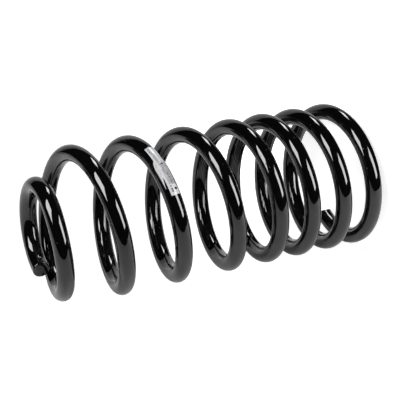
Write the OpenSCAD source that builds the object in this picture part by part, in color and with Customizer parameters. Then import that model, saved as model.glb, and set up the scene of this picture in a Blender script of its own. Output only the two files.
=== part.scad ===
// Helical compression spring of a car's rear suspension, wound cold from one round steel wire.
// It stands on its wide end, with the floor at Z = 0. That end isn't ground flat: the wire climbs from its
// tip, so the spring rests on the tip and the turn opposite, and its axis leans from Z towards X.
// The origin is where the axis meets the floor.
// Places along the wire are counted in turns from the sheared end on the floor up to the pigtail,
// and places round the wire as an angle from the side that faces away from the axis, upwards positive.

/* [Wire] */
// Diameter of the round wire
wire_d = 15; // [12:0.5:16]
// Flat sides that the swept wire has round its section
wire_sides = 18; // [12:2:24]
// Steps in which the wire is swept from end to end
wire_steps = 265; // [200:1:300]

/* [Turns] */
// Diameter of the body turns, from wire centre to wire centre
body_mean_d = 121.5; // [110:0.5:140]
// Turns from one wire end to the other
total_turns = 8.055; // [7.9:0.005:8.2]
// Compass angle of the lower wire end, seen from above
lower_end_angle = 116.35; // [90:0.05:140]

/* [Pitch] */
// Rise of the wire in one turn where it lies on its seat
seat_pitch = 9; // [4:0.5:16]
// Rise in one turn of the close turns at the wide end
close_pitch = 32.7; // [22:0.1:40]
// Rise in one turn of the open turns
open_pitch = 52.2; // [42:0.1:60]
// Rise in one turn of the flat pigtail
pigtail_pitch = 6.5; // [2:0.5:16]
// Turn at which the lower end has reached the close pitch
seat_end = 0.5; // [0.3:0.05:1]
// Turn at which the pitch starts to open
close_end = 3.27; // [2.6:0.01:3.6]
// Turn at which the pitch is fully open
open_start = 4.4; // [4:0.05:4.8]
// Turn at which the pitch starts to close again
open_end = 7; // [6.6:0.05:7.1]
// Turn from which the pigtail lies flat
pigtail_start = 7.43; // [7.3:0.01:7.6]

/* [Pigtail] */
// Diameter of the pigtail turn, from wire centre to wire centre
pigtail_mean_d = 77.5; // [70:0.5:85]
// Turn at which the wire starts to draw in to the pigtail
draw_in_start = 6.99; // [6.7:0.01:7.1]
// Turns over which the wire draws in
draw_in_turns = 0.43; // [0.4:0.01:0.6]

/* [Sheared ends] */
// Diameter of the flat face that the shear leaves at the lower end
lower_face_d = 10; // [7:0.5:11]
// How far the lower flat face sits from the wire's centre, away from the body turns
lower_face_shift = 1.2; // [0:0.1:1.4]
// Diameter of the flat face at the pigtail's end
pigtail_face_d = 9.4; // [7:0.1:9.4]
// How far the pigtail's flat face sits from the wire's centre, away from the body turns
pigtail_face_shift = 2.7; // [0:0.1:2.7]
// Length of wire over which the shear rolls its edge over
roll_length = 3; // [1:0.5:4]
// Steps in the rolled edge
roll_steps = 3; // [2:1:6]

/* [Rest] */
// Lean of the axis when the spring rests on the wire's tip and the turn opposite
rest_lean = 9.25; // [0:0.05:12]
// Height on the axis, over the upright spring's lowest point, at which the leaning one meets the floor
rest_height = 4.77; // [0:0.01:8]

/* [Label] */
// Thickness of the foil label
label_t = 0.3; // [0.1:0.1:0.6]
// Turn at which the label starts
label_start = 5.407; // [4.5:0.001:6]
// Steps of the sweep that the label is long
label_steps = 4; // [2:1:8]
// First side of the wire that the label covers, counted from the outer side
label_low_side = -4; // [-6:1:-1]
// Last side of the wire that the label covers, counted from the outer side
label_high_side = 2; // [0:1:4]

/* [Hidden] */
wire_r = wire_d / 2;
body_r = body_mean_d / 2;
pigtail_r = pigtail_mean_d / 2;
step_turns = total_turns / wire_steps;
side_angle = 360 / wire_sides;
// The flat-sided section has the same area as the round wire, so the solid has the true weight
section_r = wire_r * sqrt(2 * PI / (wire_sides * sin(side_angle)));
// Height of the wire's centre over the lowest point of the upright spring, at the lower end
foot = section_r * max([for (side = [0 : wire_sides - 1]) -sin(side * side_angle)]);
// Pitch along the wire: the turn and the rise in one turn there, straight in between
pitch_marks = [
    [0, seat_pitch],
    [seat_end, close_pitch],
    [close_end, close_pitch],
    [open_start, open_pitch],
    [open_end, open_pitch],
    [pigtail_start, pigtail_pitch],
    [total_turns, pigtail_pitch]
];
label_first = round(label_start / step_turns);

function clamped(x, low, high) = min(max(x, low), high);

function total(list, index = 0) =
    index >= len(list) ? 0 : list[index] + total(list, index + 1);

// Rise over one stretch of the pitch marks, as far as the given turn
function stretch_rise(index, turn) =
    let (
        from = pitch_marks[index],
        to = pitch_marks[index + 1],
        length = to[0] - from[0],
        along = clamped(turn - from[0], 0, length)
    )
    along * from[1] + (to[1] - from[1]) * along * along / (2 * length);

function height(turn) =
    foot + total([for (index = [0 : len(pitch_marks) - 2]) stretch_rise(index, turn)]);

// Share of the draw-in that is done at a turn, from 0 to 1
function drawn(turn) = clamped((turn - draw_in_start) / draw_in_turns, 0, 1);

function coil_r(turn) =
    let (share = drawn(turn))
    body_r + (pigtail_r - body_r) * share * share * (3 - 2 * share);

// Change of the coil's radius in one turn
function coil_r_slope(turn) =
    let (share = drawn(turn))
    (pigtail_r - body_r) * 6 * share * (1 - share) / draw_in_turns;

// Direction along the wire
function along_wire(turn) =
    let (
        angle = lower_end_angle + 360 * turn,
        r = coil_r(turn),
        dr = coil_r_slope(turn),
        way = [
            dr * cos(angle) - 2 * PI * r * sin(angle),
            dr * sin(angle) + 2 * PI * r * cos(angle),
            lookup(turn, pitch_marks)
        ]
    )
    way / norm(way);

// Direction across the wire, away from the axis
function away_from_axis(turn) =
    let (
        angle = lower_end_angle + 360 * turn,
        radial = [cos(angle), sin(angle), 0],
        along = along_wire(turn),
        way = radial - (radial * along) * along
    )
    way / norm(way);

function wire_centre(turn) =
    let (angle = lower_end_angle + 360 * turn)
    [coil_r(turn) * cos(angle), coil_r(turn) * sin(angle), height(turn)];

// Point on the wire's section at a turn, for one of its sides, at radius r and with the section lifted
function section_point(turn, side, r, lift = 0) =
    let (
        out = away_from_axis(turn),
        up = cross(out, along_wire(turn)),
        angle = side * side_angle
    )
    wire_centre(turn) + r * cos(angle) * out + (r * sin(angle) + lift) * up;

// Rolled edge of a sheared end, from the flat face back to the full wire: [turn, radius, lift].
// inward is 1 where the turns count up from the face and -1 where they count down to it.
function rolled_edge(end_turn, inward, face_r, face_shift) = [
    for (step = [0 : roll_steps])
        let (
            angle = 90 * step / roll_steps,
            back = roll_length * (1 - cos(angle)) / (2 * PI * coil_r(end_turn))
        )
        [
            end_turn + inward * back,
            face_r + (section_r - face_r) * sin(angle),
            -inward * face_shift * (1 - sin(angle))
        ]
];

function reversed(list) = [for (index = [len(list) - 1 : -1 : 0]) list[index]];

// The two triangles that join four corners, where a to b runs up the wire and a to c round it
function joined(a, b, c, d) = [[a, b, d], [a, d, c]];

// Leans the upright spring as it rests on the floor
module resting() {
    rotate([0, rest_lean, 0]) translate([0, 0, -rest_height]) children();
}

// One wire, wound and then sheared at both ends
module coil() {
    stations = concat(
        rolled_edge(0, 1, lower_face_d / 2, lower_face_shift),
        [for (step = [1 : wire_steps - 1]) [step * step_turns, section_r, 0]],
        reversed(rolled_edge(total_turns, -1, pigtail_face_d / 2, pigtail_face_shift))
    );
    last = len(stations) - 1;
    points = [
        for (station = stations, side = [0 : wire_sides - 1])
            section_point(station[0], side, station[1], station[2])
    ];
    walls = [
        for (row = [0 : last - 1], side = [0 : wire_sides - 1])
            let (
                here = row * wire_sides,
                next = here + wire_sides,
                beside = (side + 1) % wire_sides
            )
            each joined(here + side, next + side, here + beside, next + beside)
    ];
    lower_face = [for (side = [0 : wire_sides - 1]) side];
    upper_face = [for (side = [wire_sides - 1 : -1 : 0]) last * wire_sides + side];
    color([0.03, 0.03, 0.035])
        resting() polyhedron(points, concat(walls, [lower_face, upper_face]), convexity = 12);
}

// Foil label, wrapped round the outer side of one open turn and lying on its facets
module label() {
    rows = label_steps + 1;
    columns = label_high_side - label_low_side + 1;
    skin = rows * columns;
    points = [
        for (r = [section_r, section_r + label_t], row = [0 : rows - 1], column = [0 : columns - 1])
            section_point((label_first + row) * step_turns, label_low_side + column, r)
    ];
    inner = [
        for (row = [0 : rows - 2], column = [0 : columns - 2])
            let (a = row * columns + column, b = a + columns)
            each joined(a, b, a + 1, b + 1)
    ];
    outer = [for (face = inner) face + [skin, skin, skin]];
    backs = [for (face = inner) reversed(face)];
    rim = concat(
        [for (column = [0 : columns - 1]) column],
        [for (row = [1 : rows - 1]) row * columns + columns - 1],
        [for (column = [columns - 2 : -1 : 0]) (rows - 1) * columns + column],
        [for (row = [rows - 2 : -1 : 1]) row * columns]
    );
    edges = [
        for (index = [0 : len(rim) - 1])
            let (a = rim[(index + 1) % len(rim)], b = rim[index])
            each joined(a, b, a + skin, b + skin)
    ];
    color([0.82, 0.83, 0.84])
        resting() polyhedron(points, concat(backs, outer, edges), convexity = 4);
}

coil();
label();
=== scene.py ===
# A coil spring of a car's rear suspension. It stands on its wide end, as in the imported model, and the
# camera is rolled, so that the picture shows it lying on its side.
import math

import bpy
from mathutils import Matrix, Vector


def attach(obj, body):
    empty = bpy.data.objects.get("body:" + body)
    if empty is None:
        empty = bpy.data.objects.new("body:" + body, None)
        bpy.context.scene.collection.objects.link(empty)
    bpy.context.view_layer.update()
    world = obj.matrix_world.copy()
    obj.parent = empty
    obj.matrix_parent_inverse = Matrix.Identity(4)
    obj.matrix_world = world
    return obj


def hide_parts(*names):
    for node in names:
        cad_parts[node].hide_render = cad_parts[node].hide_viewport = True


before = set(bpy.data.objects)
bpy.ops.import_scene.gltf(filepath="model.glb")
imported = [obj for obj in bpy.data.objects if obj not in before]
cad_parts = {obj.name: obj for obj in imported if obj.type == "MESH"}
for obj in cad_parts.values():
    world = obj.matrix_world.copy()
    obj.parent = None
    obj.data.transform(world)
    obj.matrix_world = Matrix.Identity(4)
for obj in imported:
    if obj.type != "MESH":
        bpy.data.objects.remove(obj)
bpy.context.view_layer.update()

# Camera
# A long lens almost a metre away. It looks down on the spring and is rolled by more than a right angle,
# so the pigtail comes to the left of the picture and the wide end to the right.
camera_place = Vector((-0.1078, -0.8258, 0.5471))
camera_target = Vector((0.0255, 0.0045, 0.1500))
camera_roll = math.radians(-110.92)
camera_lens = 92.31

camera_data = bpy.data.cameras.new("camera")
camera_data.lens = camera_lens
camera_data.clip_start = 0.01
camera_data.clip_end = 30
camera = bpy.data.objects.new("camera", camera_data)
aim = (camera_target - camera_place).to_track_quat("-Z", "Y").to_matrix().to_4x4()
camera.matrix_world = Matrix.Translation(camera_place) @ aim @ Matrix.Rotation(camera_roll, 4, "Z")
bpy.context.scene.collection.objects.link(camera)
bpy.context.scene.camera = camera

# Coil
# One round spring-steel wire, wound cold with a changing pitch and drawn in to a flat pigtail at the top.
# It is sheared at both ends, which rolls the edge over on one side, and then coated in gloss black.

# Lengths are in metres, and places along the wire are counted in turns from its lower end
wire_sizes = {
    "Wire Radius": 0.0075,
    "Body Radius": 0.06075,
    "Pigtail Radius": 0.03875,
    "Total Turns": 8.055,
    "Lower End Angle": math.radians(116.35),
    "Foot Height": 0.00746,
    "Seat Pitch": 0.009,
    "Close Pitch": 0.0327,
    "Open Pitch": 0.0522,
    "Pigtail Pitch": 0.0065,
    "Seat End": 0.5,
    "Close End": 3.27,
    "Open Start": 4.4,
    "Open End": 7.0,
    "Pigtail Start": 7.43,
    "Draw In Start": 6.99,
    "Draw In Turns": 0.43,
}
# Each cut face is flat and off the wire's centre, and its edge rolls back to the full wire. The lower end
# reaches past the first turn's start by its overhang, and the shear has pushed a lip out on one side
end_sizes = {
    "Lower Face Radius": 0.005,
    "Lower Face Shift": -0.0025,
    "Lower Roll Length": 0.0045,
    "Lower Overhang": 0.0028,
    "Lip Length": 0.0045,
    "Lip Angle": math.radians(230),
    "Lip Spread": math.radians(60),
    "Pigtail Face Radius": 0.0047,
    "Pigtail Face Shift": 0.0027,
    "Pigtail Roll Length": 0.0018,
    "Roll Rows": 6,
}
lip_curve = 4.0
rows_per_turn = 96
coil_mesh_sizes = {
    "Rows": round(rows_per_turn * wire_sizes["Total Turns"]),
    "Sides": 48,
}
seam_gap = 1e-5
flat_shaded_from = 0.99
# The upright spring leans until it rests on its lower wire end and on the turn opposite
rest_lean = math.radians(9.25)
rest_height = 0.00477
at_rest = Matrix.Rotation(rest_lean, 4, "Y") @ Matrix.Translation((0, 0, -rest_height))


class Value:
    """A number or an arrow in a node tree, so that a rule can be written as a formula."""

    def __init__(self, socket):
        self.socket = socket

    def __add__(self, other):
        return math_node("ADD", self, other)

    def __radd__(self, other):
        return math_node("ADD", other, self)

    def __sub__(self, other):
        return math_node("SUBTRACT", self, other)

    def __rsub__(self, other):
        return math_node("SUBTRACT", other, self)

    def __mul__(self, other):
        return math_node("MULTIPLY", self, other)

    def __rmul__(self, other):
        return math_node("MULTIPLY", other, self)

    def __truediv__(self, other):
        return math_node("DIVIDE", self, other)


def put(value, place):
    """Links a node's input to a value of the tree, or sets it to a plain one."""
    if isinstance(value, Value):
        place.id_data.links.new(value.socket, place)
    else:
        place.default_value = value


def filled(kind, operation, values):
    """A node of a kind that has an operation, with its first inputs filled."""
    tree = next(value.socket.id_data for value in values if isinstance(value, Value))
    node = tree.nodes.new(kind)
    node.operation = operation
    for place, value in zip(node.inputs, values):
        put(value, place)
    return node


def math_node(operation, *values):
    return Value(filled("ShaderNodeMath", operation, values).outputs["Value"])


def arrow_node(operation, *values):
    output = "Value" if operation == "DOT_PRODUCT" else "Vector"
    return Value(filled("ShaderNodeVectorMath", operation, values).outputs[output])


def scaled(arrow, factor):
    node = filled("ShaderNodeVectorMath", "SCALE", [arrow])
    put(factor, node.inputs["Scale"])
    return Value(node.outputs["Vector"])


def arrow_of(x, y, z):
    tree = next(value.socket.id_data for value in (x, y, z) if isinstance(value, Value))
    node = tree.nodes.new("ShaderNodeCombineXYZ")
    for place, value in zip(node.inputs, (x, y, z)):
        put(value, place)
    return Value(node.outputs["Vector"])


def within(value, low, high):
    return math_node("MINIMUM", math_node("MAXIMUM", value, low), high)


def number_sockets(tree, in_out, *names):
    for name in names:
        tree.interface.new_socket(name, in_out=in_out, socket_type="NodeSocketFloat")


def mesh_tree(name, *sizes):
    """An empty Geometry Nodes tree for a modifier, with the named sizes as its inputs."""
    tree = bpy.data.node_groups.new(name, "GeometryNodeTree")
    tree.is_modifier = True
    tree.interface.new_socket("Mesh", in_out="INPUT", socket_type="NodeSocketGeometry")
    for group in sizes:
        number_sockets(tree, "INPUT", *group)
    tree.interface.new_socket("Mesh", in_out="OUTPUT", socket_type="NodeSocketGeometry")
    return tree


def inputs_of(tree):
    """The tree's own inputs, by name."""
    outputs = tree.nodes.new("NodeGroupInput").outputs
    return {socket.name: Value(socket) for socket in outputs if socket.name}


def wire_group():
    """The rule that winds the wire, as a group that gives the place of one point.

    Turn is the point's place along the wire. Around is its angle round the wire, from the side that faces
    away from the axis, upwards positive. Distance is from the wire's centre, and Lift raises the section.
    """
    tree = bpy.data.node_groups.new("Point on the wire", "GeometryNodeTree")
    number_sockets(tree, "INPUT", "Turn", "Around", "Distance", "Lift", *wire_sizes)
    tree.interface.new_socket("Position", in_out="OUTPUT", socket_type="NodeSocketVector")
    given = inputs_of(tree)
    turn = given["Turn"]

    # The pitch changes in straight stretches between its marks, and its sum is the height
    marks = [
        (0, given["Seat Pitch"]),
        (given["Seat End"], given["Close Pitch"]),
        (given["Close End"], given["Close Pitch"]),
        (given["Open Start"], given["Open Pitch"]),
        (given["Open End"], given["Open Pitch"]),
        (given["Pigtail Start"], given["Pigtail Pitch"]),
        (given["Total Turns"], given["Pigtail Pitch"]),
    ]
    pitch = given["Seat Pitch"]
    height = given["Foot Height"]
    for (start, pitch_before), (end, pitch_after) in zip(marks, marks[1:]):
        share = within((turn - start) / (end - start), 0, 1)
        change = (pitch_after - pitch_before) * share
        pitch = pitch + change
        height = height + share * (end - start) * (pitch_before + change / 2)

    # The radius draws in smoothly from the body to the pigtail
    drawn = within((turn - given["Draw In Start"]) / given["Draw In Turns"], 0, 1)
    shrink = given["Pigtail Radius"] - given["Body Radius"]
    radius = given["Body Radius"] + shrink * drawn * drawn * (3 - 2 * drawn)
    radius_slope = shrink * 6 * drawn * (1 - drawn) / given["Draw In Turns"]

    # Directions along the wire, away from the axis and across both
    angle = given["Lower End Angle"] + turn * math.tau
    cosine = math_node("COSINE", angle)
    sine = math_node("SINE", angle)
    sideways = radius * math.tau
    along = arrow_node(
        "NORMALIZE",
        arrow_of(
            radius_slope * cosine - sideways * sine,
            radius_slope * sine + sideways * cosine,
            pitch,
        ),
    )
    radial = arrow_of(cosine, sine, 0.0)
    leftover = scaled(along, arrow_node("DOT_PRODUCT", radial, along))
    outward = arrow_node("NORMALIZE", arrow_node("SUBTRACT", radial, leftover))
    upward = arrow_node("CROSS_PRODUCT", outward, along)

    centre = arrow_of(radius * cosine, radius * sine, height)
    out_part = given["Distance"] * math_node("COSINE", given["Around"])
    up_part = given["Distance"] * math_node("SINE", given["Around"]) + given["Lift"]
    place = arrow_node("ADD", centre, scaled(outward, out_part))
    place = arrow_node("ADD", place, scaled(upward, up_part))
    put(place, tree.nodes.new("NodeGroupOutput").inputs["Position"])
    return tree


point_on_wire = wire_group()


def wire_point(given, turn, around, distance, lift=0.0):
    """Places the group that winds the wire in a tree that has the wire's sizes as inputs."""
    tree = turn.socket.id_data
    node = tree.nodes.new("GeometryNodeGroup")
    node.node_tree = point_on_wire
    for name in wire_sizes:
        put(given[name], node.inputs[name])
    for name, value in {"Turn": turn, "Around": around, "Distance": distance, "Lift": lift}.items():
        put(value, node.inputs[name])
    return Value(node.outputs["Position"])


def grid(tree, rows, columns):
    """A flat grid round its own middle, with the share of the way along it and across it at each point."""
    node = tree.nodes.new("GeometryNodeMeshGrid")
    node.inputs["Size X"].default_value = 1
    node.inputs["Size Y"].default_value = 1
    put(rows, node.inputs["Vertices X"])
    put(columns, node.inputs["Vertices Y"])
    split = tree.nodes.new("ShaderNodeSeparateXYZ")
    place = tree.nodes.new("GeometryNodeInputPosition")
    tree.links.new(place.outputs["Position"], split.inputs["Vector"])
    return node, Value(split.outputs["X"]) + 0.5, Value(split.outputs["Y"]) + 0.5


def stored(tree, mesh, name, data_type, value):
    """Keeps a value on the mesh under a name: a UV map on its corners, and a plain number on its points."""
    node = tree.nodes.new("GeometryNodeStoreNamedAttribute")
    node.data_type = data_type
    node.domain = "CORNER" if data_type == "FLOAT2" else "POINT"
    node.inputs["Name"].default_value = name
    put(mesh, node.inputs["Geometry"])
    put(value, node.inputs["Value"])
    return Value(node.outputs["Geometry"])


def shaded(tree, mesh, smooth, where=True):
    """Shades the faces of a mesh smooth or flat."""
    node = tree.nodes.new("GeometryNodeSetShadeSmooth")
    put(mesh, node.inputs["Geometry"])
    put(where, node.inputs["Selection"])
    node.inputs["Shade Smooth"].default_value = smooth
    return Value(node.outputs["Geometry"])


def finished(tree, mesh, material):
    """Ends a tree: no instances, and the piece's material."""
    whole = tree.nodes.new("GeometryNodeRealizeInstances")
    put(mesh, whole.inputs["Geometry"])
    painted = tree.nodes.new("GeometryNodeSetMaterial")
    painted.inputs["Material"].default_value = material
    tree.links.new(whole.outputs["Geometry"], painted.inputs["Geometry"])
    tree.links.new(painted.outputs["Geometry"], tree.nodes.new("NodeGroupOutput").inputs["Mesh"])


def grown(name, tree, sizes, foil=None):
    """Runs a tree with its sizes and gives a plain mesh, which leans as the spring rests."""
    seed = bpy.data.objects.new(name, bpy.data.meshes.new(name))
    bpy.context.scene.collection.objects.link(seed)
    modifier = seed.modifiers.new("made", "NODES")
    modifier.node_group = tree
    for item in tree.interface.items_tree:
        if item.in_out == "INPUT" and item.name in sizes:
            modifier[item.identifier] = float(sizes[item.name])
    if foil:
        skin = seed.modifiers.new("thick", "SOLIDIFY")
        skin.thickness = foil
        skin.offset = 1
    graph = bpy.context.evaluated_depsgraph_get()
    mesh = bpy.data.meshes.new_from_object(seed.evaluated_get(graph))
    seed.modifiers.clear()
    mesh.transform(at_rest)
    # What would pass below the floor is pressed flat on it
    for vertex in mesh.vertices:
        vertex.co.z = max(vertex.co.z, 0.0)
    mesh.name = name
    seed.data = mesh
    return seed


def coil_tree(material):
    """A grid wound into the wire, with its first and last rows drawn together into the cut faces."""
    tree = mesh_tree("Wound wire", wire_sizes, end_sizes, coil_mesh_sizes)
    given = inputs_of(tree)
    mesh, along, round_wire = grid(tree, given["Rows"], given["Sides"] + 1)
    row = along * (given["Rows"] - 1)
    edge_rows = given["Roll Rows"] + 1

    def sheared(rows_in, roll_length):
        """A rolled edge so many rows in: its width, from 0 to 1, and its distance from the face."""
        angle = within((rows_in - 1) / given["Roll Rows"], 0, 1) * (math.pi / 2)
        return math_node("SINE", angle), given[roll_length] * (1 - math_node("COSINE", angle))

    low_width, low_back = sheared(row, "Lower Roll Length")
    high_width, high_back = sheared(given["Rows"] - 1 - row, "Pigtail Roll Length")

    # Lengths of a turn at the two ends
    low_turn = math.tau * given["Body Radius"]
    high_turn = math.tau * given["Pigtail Radius"]

    # The rows go through the lower rolled edge, then in even steps along the wire, then through the upper one
    overhang = given["Lower Overhang"] / low_turn
    low_whole = given["Lower Roll Length"] / low_turn - overhang
    high_whole = given["Pigtail Roll Length"] / high_turn
    wire_share = within((row - edge_rows) / (given["Rows"] - 1 - 2 * edge_rows), 0, 1)
    full_turns = given["Total Turns"] - low_whole - high_whole
    turn = low_back / low_turn - overhang + wire_share * full_turns + high_whole - high_back / high_turn

    # The shear pushes the lower side of the wire out into a lip
    from_lip = math_node("ABSOLUTE", round_wire * math.tau - given["Lip Angle"])
    lip = within(1 - from_lip / given["Lip Spread"], 0, 1) * given["Lip Length"]
    in_roll = within(edge_rows + 1 - row, 0, 1)
    turn = turn - lip * in_roll * math_node("POWER", low_width, lip_curve) / low_turn

    # The first and last row close the faces in one point, off the wire's centre
    low_inset = (given["Wire Radius"] - given["Lower Face Radius"]) * (1 - low_width)
    high_inset = (given["Wire Radius"] - given["Pigtail Face Radius"]) * (1 - high_width)
    in_face = math_node("MINIMUM", row, given["Rows"] - 1 - row)
    distance = (given["Wire Radius"] - low_inset - high_inset) * within(in_face, 0, 1)
    low_lift = given["Lower Face Shift"] * (low_width - 1)
    lift = low_lift + given["Pigtail Face Shift"] * (1 - high_width)

    shaped = tree.nodes.new("GeometryNodeSetPosition")
    on_cut = 1 - within(in_face - 1, 0, 1)
    marked = stored(tree, Value(mesh.outputs["Mesh"]), "UVMap", "FLOAT2", Value(mesh.outputs["UV Map"]))
    marked = stored(tree, marked, "cut", "FLOAT", on_cut)
    put(marked, shaped.inputs["Geometry"])
    place = wire_point(given, turn, round_wire * math.tau, distance, lift)
    put(place, shaped.inputs["Position"])
    closed = tree.nodes.new("GeometryNodeMergeByDistance")
    closed.inputs["Distance"].default_value = seam_gap
    tree.links.new(shaped.outputs["Geometry"], closed.inputs["Geometry"])
    rounded = shaded(tree, Value(closed.outputs["Geometry"]), True)
    on_face = math_node("GREATER_THAN", on_cut, flat_shaded_from)
    finished(tree, shaded(tree, rounded, False, on_face), material)
    return tree


def new_material(name):
    material = bpy.data.materials.new(name)
    material.use_nodes = True
    return material, material.node_tree, material.node_tree.nodes["Principled BSDF"]


def noise(tree, place, grain):
    """Smooth noise with so many lumps in a unit of the place."""
    node = tree.nodes.new("ShaderNodeTexNoise")
    node.inputs["Scale"].default_value = grain
    put(place, node.inputs["Vector"])
    return Value(node.outputs["Fac"])


def object_place(tree):
    return Value(tree.nodes.new("ShaderNodeTexCoord").outputs["Object"])


def bump(height, strength, distance):
    """A bump node on a height that is given as a share of the distance."""
    node = height.socket.id_data.nodes.new("ShaderNodeBump")
    node.inputs["Strength"].default_value = strength
    node.inputs["Distance"].default_value = distance
    put(height, node.inputs["Height"])
    return Value(node.outputs["Normal"])


def blended(share, first, second):
    """A colour between two others."""
    node = share.socket.id_data.nodes.new("ShaderNodeMix")
    node.data_type = "RGBA"
    for place, value in zip([socket for socket in node.inputs if socket.enabled], (share, first, second)):
        put(value, place)
    return Value(next(socket for socket in node.outputs if socket.enabled))


def dust_group():
    """Sparse round specks: where a point of a random cloud happens to lie in the surface."""
    tree = bpy.data.node_groups.new("Dust specks", "ShaderNodeTree")
    tree.interface.new_socket("Place", in_out="INPUT", socket_type="NodeSocketVector")
    number_sockets(tree, "INPUT", "Specks In A Metre", "Speck Size")
    number_sockets(tree, "OUTPUT", "Speck")
    given = inputs_of(tree)
    cloud = tree.nodes.new("ShaderNodeTexVoronoi")
    put(given["Place"], cloud.inputs["Vector"])
    put(given["Specks In A Metre"], cloud.inputs["Scale"])
    reach = given["Speck Size"] * given["Specks In A Metre"]
    speck = within(1 - Value(cloud.outputs["Distance"]) / reach, 0, 1)
    put(speck, tree.nodes.new("NodeGroupOutput").inputs["Speck"])
    return tree


dust_specks = dust_group()


def dust(tree, place, count, size):
    node = tree.nodes.new("ShaderNodeGroup")
    node.node_tree = dust_specks
    put(place, node.inputs["Place"])
    node.inputs["Specks In A Metre"].default_value = count
    node.inputs["Speck Size"].default_value = size
    return Value(node.outputs["Speck"])


coat_colour = (0.0022, 0.0022, 0.0023, 1)
bare_colour = (0.06, 0.06, 0.062, 1)
coat_index = 1.65
coat_roughness = 0.04
patch_grain = 90
patch_roughness = 0.03
nibs_in_a_metre = 150
nib_size = 0.0006
nib_paleness = 1.5
nib_roughness = 0.3
nib_height = 1.5
cut_grain = 700
cut_paleness = 0.3
cut_roughness = 0.35
peel_grain = 420
peel_height = 0.15
score_grain = 1500
score_height = 2
coat_bump_strength = 0.4
coat_bump_depth = 0.00012


def black_coat():
    """Gloss black coat with a faint orange peel and dust nibs, matter and scored on the sheared faces."""
    material, tree, shader = new_material("black coat")
    place = object_place(tree)
    shader.inputs["IOR"].default_value = coat_index
    cut_mark = tree.nodes.new("ShaderNodeAttribute")
    cut_mark.attribute_name = "cut"
    cut = Value(cut_mark.outputs["Fac"])
    nibs = dust(tree, place, nibs_in_a_metre, nib_size)
    bare = within(nibs * nib_paleness + cut * noise(tree, place, cut_grain) * cut_paleness, 0, 1)
    put(blended(bare, coat_colour, bare_colour), shader.inputs["Base Color"])
    coat = coat_roughness + noise(tree, place, patch_grain) * patch_roughness
    put(coat + cut * cut_roughness + nibs * nib_roughness, shader.inputs["Roughness"])
    peel = noise(tree, place, peel_grain) * peel_height
    scores = cut * noise(tree, place, score_grain) * score_height
    relief = peel + nibs * nib_height + scores
    put(bump(relief, coat_bump_strength, coat_bump_depth), shader.inputs["Normal"])
    return material


coil = grown("spring_coil", coil_tree(black_coat()), {**wire_sizes, **end_sizes, **coil_mesh_sizes})
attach(coil, "root")
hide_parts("coil")

# Label
# A strip of silver foil, stuck round the outer side of one open turn. Its straight edges bow on the
# curved wire, so it reaches further round it in the middle of its length than at its two ends.
label_sizes = {
    "Label Start": 5.4087,
    "Label End": 5.526,
    "High Edge": math.radians(31),
    "Low Edge": math.radians(-36),
    "Bow": math.radians(1),
    "Skew": math.radians(5),
    "Gap": 0.00002,
}
label_mesh_sizes = {"Rows": 120, "Columns": 41}
foil_thickness = 0.00015


def label_tree(material):
    """A grid laid round the wire between two bowed edges."""
    tree = mesh_tree("Foil label", wire_sizes, label_sizes, label_mesh_sizes)
    given = inputs_of(tree)
    mesh, along, across = grid(tree, given["Rows"], given["Columns"])
    turn = given["Label Start"] + along * (given["Label End"] - given["Label Start"])
    from_middle = along * 2 - 1
    bow = given["Bow"] * from_middle * from_middle
    skew = given["Skew"] * from_middle
    high = given["High Edge"] - bow + skew
    low = given["Low Edge"] + bow + skew
    marked = stored(tree, Value(mesh.outputs["Mesh"]), "UVMap", "FLOAT2", Value(mesh.outputs["UV Map"]))
    shaped = tree.nodes.new("GeometryNodeSetPosition")
    put(marked, shaped.inputs["Geometry"])
    place = wire_point(given, turn, low + across * (high - low), given["Wire Radius"] + given["Gap"])
    put(place, shaped.inputs["Position"])
    finished(tree, shaded(tree, Value(shaped.outputs["Geometry"]), True), material)
    return tree


# Generic print: grey fields, rows of dashes and two dots, in millimetres from the label's lower corner
label_length = 46.3
label_width = 8.8
print_edge = 0.15
mottle_grain = 1100
mottle_contrast = 4
dash_threshold = 0.45
dash_sharpness = 15
dot_reach = 1.1
dot_sharpness = 5
print_fields = [
    {"start": 8.5, "end": 28.5, "low": 0.6, "high": 7.0, "dark": 0.38},
    {"start": 28.5, "end": 45.5, "low": 4.9, "high": 7.5, "dark": 0.40},
    {"start": 28.5, "end": 45.5, "low": 0.6, "high": 3.9, "dark": 0.18},
]
print_rows = [
    {"across": 3.75, "half height": 0.6, "start": 9.5, "end": 19.5, "dash": 1.3, "dark": 0.9},
    {"across": 0.9, "half height": 0.5, "start": 8, "end": 15, "dash": 1.2, "dark": 0.85},
    {"across": 5.4, "half height": 0.5, "start": 20, "end": 27.5, "dash": 1.1, "dark": 0.65},
    {"across": 5.8, "half height": 0.6, "start": 29.5, "end": 36, "dash": 1.4, "dark": 0.65},
    {"across": 7.0, "half height": 0.7, "start": 38, "end": 44, "dash": 1.6, "dark": 0.7},
    {"across": 6.1, "half height": 0.8, "start": 2.5, "end": 8, "dash": 1.4, "dark": 0.9},
    {"across": 4.7, "half height": 0.4, "start": 13, "end": 26, "dash": 1.0, "dark": 0.6},
    {"across": 2.4, "half height": 0.4, "start": 10, "end": 27, "dash": 1.0, "dark": 0.65},
    {"across": 1.1, "half height": 0.4, "start": 17, "end": 29, "dash": 1.0, "dark": 0.7},
]
print_dots = [
    {"along": 27.1, "across": 3.9, "half length": 0.9, "half width": 0.9},
    {"along": 4.9, "across": 2.4, "half length": 1.0, "half width": 1.6},
]


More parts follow.
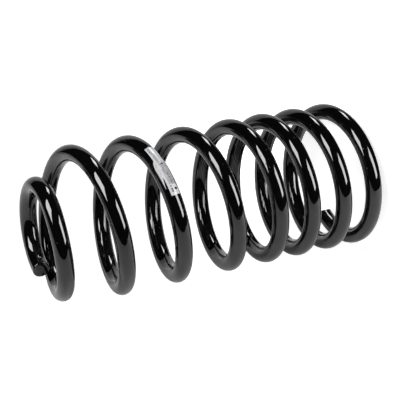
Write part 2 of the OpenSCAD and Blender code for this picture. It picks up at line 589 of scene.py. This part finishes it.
def label_print(tree, place, along, across):
    """How dark the print is at a place on the label, from 0 to 1."""

    def strip(place, low, high):
        return within((place - low) / print_edge, 0, 1) * within((high - place) / print_edge, 0, 1)

    ink = 0.0
    # The mottle is 1 on average
    mottle = noise(tree, place, mottle_grain) * mottle_contrast - (mottle_contrast / 2 - 1)
    for field in print_fields:
        grey = strip(along, field["start"], field["end"]) * strip(across, field["low"], field["high"])
        ink = math_node("MAXIMUM", ink, grey * mottle * field["dark"])
    # Each row takes its dashes from a line of its own through the noise
    for number, row in enumerate(print_rows):
        beat = noise(tree, arrow_of(along / row["dash"], float(number), 0.0), 1)
        dashes = within((beat - dash_threshold) * dash_sharpness, 0, 1)
        half = row["half height"]
        line = strip(across, row["across"] - half, row["across"] + half)
        ink = math_node("MAXIMUM", ink, line * strip(along, row["start"], row["end"]) * dashes * row["dark"])
    for dot in print_dots:
        far_along = (along - dot["along"]) / dot["half length"]
        far_across = (across - dot["across"]) / dot["half width"]
        from_dot = math_node("SQRT", far_along * far_along + far_across * far_across)
        ink = math_node("MAXIMUM", ink, within((dot_reach - from_dot) * dot_sharpness, 0, 1))
    return ink


foil_colour = (0.66, 0.665, 0.685, 1)
cloud_colour = (0.48, 0.485, 0.50, 1)
ink_colour = (0.02, 0.02, 0.022, 1)
cloud_grain = 500
specks_in_a_metre = 300
speck_size = 0.0004
speck_darkness = 0.5
foil_roughness = 0.12
smear_grain = 200
smear_roughness = 0.06
ripple_grain = 350
ripple_strength = 0.2
ripple_depth = 0.0001


def label_foil():
    """Satin silver foil under a clear film, with grey print."""
    material, tree, shader = new_material("label foil")
    place = object_place(tree)
    split = tree.nodes.new("ShaderNodeSeparateXYZ")
    tree.links.new(tree.nodes.new("ShaderNodeUVMap").outputs["UV"], split.inputs["Vector"])
    along = Value(split.outputs["X"]) * label_length
    across = Value(split.outputs["Y"]) * label_width
    foil = blended(noise(tree, place, cloud_grain), foil_colour, cloud_colour)
    specks = dust(tree, place, specks_in_a_metre, speck_size)
    dark = within(label_print(tree, place, along, across) + specks * speck_darkness, 0, 1)
    put(blended(dark, foil, ink_colour), shader.inputs["Base Color"])
    put(foil_roughness + noise(tree, place, smear_grain) * smear_roughness, shader.inputs["Roughness"])
    put(bump(noise(tree, place, ripple_grain), ripple_strength, ripple_depth), shader.inputs["Normal"])
    return material


label = grown(
    "foil_label",
    label_tree(label_foil()),
    {**wire_sizes, **label_sizes, **label_mesh_sizes},
    foil=foil_thickness,
)
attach(label, "root")
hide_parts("label")

# Studio
# A dark studio, guessed from what the gloss coat mirrors: three softboxes, a white table that the spring
# lies on in the picture, and a white backdrop with a rounded top. Places are in the table's own axes,
# from the spring's middle: right, up and towards the viewer.
table_tilt = math.radians(22.3)
table_level = -0.067
table_front = 0.28
table_left = -1.6
table_right = 0.62
table_corner_cut = 0.18
backdrop_depth = -0.6
backdrop_middle = -0.16
backdrop_half_width = 0.78
backdrop_height = 0.64
backdrop_steps = 24
table_white = 0.97
# Painted shade: the table's white darkens towards the viewer to this value, between these two distances
table_painted_shade_white = 0.5
painted_shade_start = -0.05
painted_shade_end = 0.25
backdrop_white = 0.95
softbox_glow = 9.7
studio = camera.matrix_world.to_3x3() @ Matrix.Rotation(table_tilt, 3, "X")


def card(name, corners, material):
    """A flat piece of the studio that the camera doesn't see, and that throws no shadow."""
    mesh = bpy.data.meshes.new(name)
    places = [camera_target + studio @ Vector(corner) for corner in corners]
    mesh.from_pydata(places, [], [range(len(corners))])
    mesh.materials.append(material)
    piece = bpy.data.objects.new(name, mesh)
    bpy.context.scene.collection.objects.link(piece)
    piece.visible_camera = False
    piece.visible_shadow = False


def softbox(name, middle, azimuth, elevation, roll, width, height):
    """A glowing sheet that lights one way only. The angles, in degrees, are those of its dark back."""
    turned = Matrix.Rotation(math.radians(azimuth), 3, "Y")
    turned = turned @ Matrix.Rotation(math.radians(-elevation), 3, "X")
    turned = turned @ Matrix.Rotation(math.radians(roll), 3, "Z")
    shape = ((-1, -1), (-1, 1), (1, 1), (1, -1))
    corners = [Vector(middle) + turned @ Vector((x * width / 2, y * height / 2, 0)) for x, y in shape]
    card(name, corners, softbox_cloth)


def empty_material(name):
    material = bpy.data.materials.new(name)
    material.use_nodes = True
    material.node_tree.nodes.clear()
    return material, material.node_tree, material.node_tree.nodes.new("ShaderNodeOutputMaterial")


def glowing(name, strength):
    """A glow from the front of a sheet alone."""
    material, tree, output = empty_material(name)
    glow = tree.nodes.new("ShaderNodeEmission")
    back = Value(tree.nodes.new("ShaderNodeNewGeometry").outputs["Backfacing"])
    put((1 - back) * strength, glow.inputs["Strength"])
    tree.links.new(glow.outputs["Emission"], output.inputs["Surface"])
    return material


def matte(name, white, painted_shade_white=None, camera_glow=None):
    """A matte white, which may darken towards the viewer as painted shade, and glow to the camera alone, as
    when overlit.
    """
    material, tree, output = empty_material(name)
    surface = tree.nodes.new("ShaderNodeBsdfDiffuse")
    colour = (white, white, white, 1)
    surface.inputs["Color"].default_value = colour
    # Painted shade: the white darkens towards the viewer, where the table is less lit
    if painted_shade_white is not None:
        from_middle = arrow_node("SUBTRACT", object_place(tree), camera_target)
        forward = arrow_node("DOT_PRODUCT", from_middle, studio @ Vector((0, 0, 1)))
        painted_shade_share = within((forward - painted_shade_start) / (painted_shade_end - painted_shade_start), 0, 1)
        painted_shade_colour = (painted_shade_white, painted_shade_white, painted_shade_white, 1)
        put(blended(painted_shade_share, colour, painted_shade_colour), surface.inputs["Color"])
    tree.links.new(surface.outputs["BSDF"], output.inputs["Surface"])
    if camera_glow is not None:
        glow = tree.nodes.new("ShaderNodeEmission")
        ray = Value(tree.nodes.new("ShaderNodeLightPath").outputs["Is Camera Ray"])
        put(ray * camera_glow, glow.inputs["Strength"])
        both = tree.nodes.new("ShaderNodeAddShader")
        tree.links.new(surface.outputs["BSDF"], both.inputs[0])
        tree.links.new(glow.outputs["Emission"], both.inputs[1])
        tree.links.new(both.outputs["Shader"], output.inputs["Surface"])
    return material


softbox_cloth = glowing("softbox cloth", softbox_glow)
softbox(
    "left softbox",
    middle=(-0.464, 0.467, 0.383),
    azimuth=-58,
    elevation=26,
    roll=-9.4,
    width=0.344,
    height=0.476,
)
softbox(
    "right softbox",
    middle=(0.609, 0.282, 0.347),
    azimuth=65,
    elevation=44.7,
    roll=7.3,
    width=0.332,
    height=0.520,
)
softbox(
    "back softbox",
    middle=(0.146, 1.583, -0.844),
    azimuth=170.2,
    elevation=61.6,
    roll=1.6,
    width=0.38,
    height=0.66,
)
# The corner of the table that is nearest on the right is cut off
table_corners = [
    (table_left, table_level, backdrop_depth),
    (table_left, table_level, table_front),
    (table_right - table_corner_cut, table_level, table_front),
    (table_right, table_level, table_front - table_corner_cut),
    (table_right, table_level, backdrop_depth),
]
# The table's front carries painted shade
card("table", table_corners, matte("white table", table_white, table_painted_shade_white))
arch = [
    (
        backdrop_middle + backdrop_half_width * math.cos(math.pi * step / backdrop_steps),
        table_level + backdrop_height * math.sin(math.pi * step / backdrop_steps),
        backdrop_depth,
    )
    for step in range(backdrop_steps + 1)
]
card("backdrop", arch, matte("white backdrop", backdrop_white))

# Floor
# A white floor under the standing spring. It glows to the camera as an overlit one does, and a wide lamp
# overhead, which lights nothing else, gives it a faint soft shadow of the spring.
floor_half = 6.0
floor_white = 0.8
floor_glow = 0.78
overhead_strength = 1.0
overhead_spread = math.radians(50)
floor_corners = [(-floor_half, -floor_half, 0), (floor_half, -floor_half, 0)]
floor_corners += [(floor_half, floor_half, 0), (-floor_half, floor_half, 0)]
floor_mesh = bpy.data.meshes.new("floor")
floor_mesh.from_pydata(floor_corners, [], [range(len(floor_corners))])
floor_mesh.materials.append(matte("white floor", floor_white, camera_glow=floor_glow))
floor = bpy.data.objects.new("floor", floor_mesh)
bpy.context.scene.collection.objects.link(floor)
floor.visible_glossy = False
floor.visible_diffuse = False
floor.visible_shadow = False

overhead_data = bpy.data.lights.new("overhead", "SUN")
overhead_data.energy = overhead_strength
overhead_data.angle = overhead_spread
overhead = bpy.data.objects.new("overhead", overhead_data)
bpy.context.scene.collection.objects.link(overhead)
lit_by_overhead = bpy.data.collections.new("lit by overhead")
lit_by_overhead.objects.link(floor)
overhead.light_linking.receiver_collection = lit_by_overhead

# The world is white to the camera alone, and dark to the gloss coat
world = bpy.data.worlds.new("studio")
world.use_nodes = True
bpy.context.scene.world = world
rays = world.node_tree.nodes.new("ShaderNodeLightPath")
background = world.node_tree.nodes["Background"]
background.inputs["Color"].default_value = (1, 1, 1, 1)
world.node_tree.links.new(rays.outputs["Is Camera Ray"], background.inputs["Strength"])

bpy.context.scene.view_settings.view_transform = "Standard"
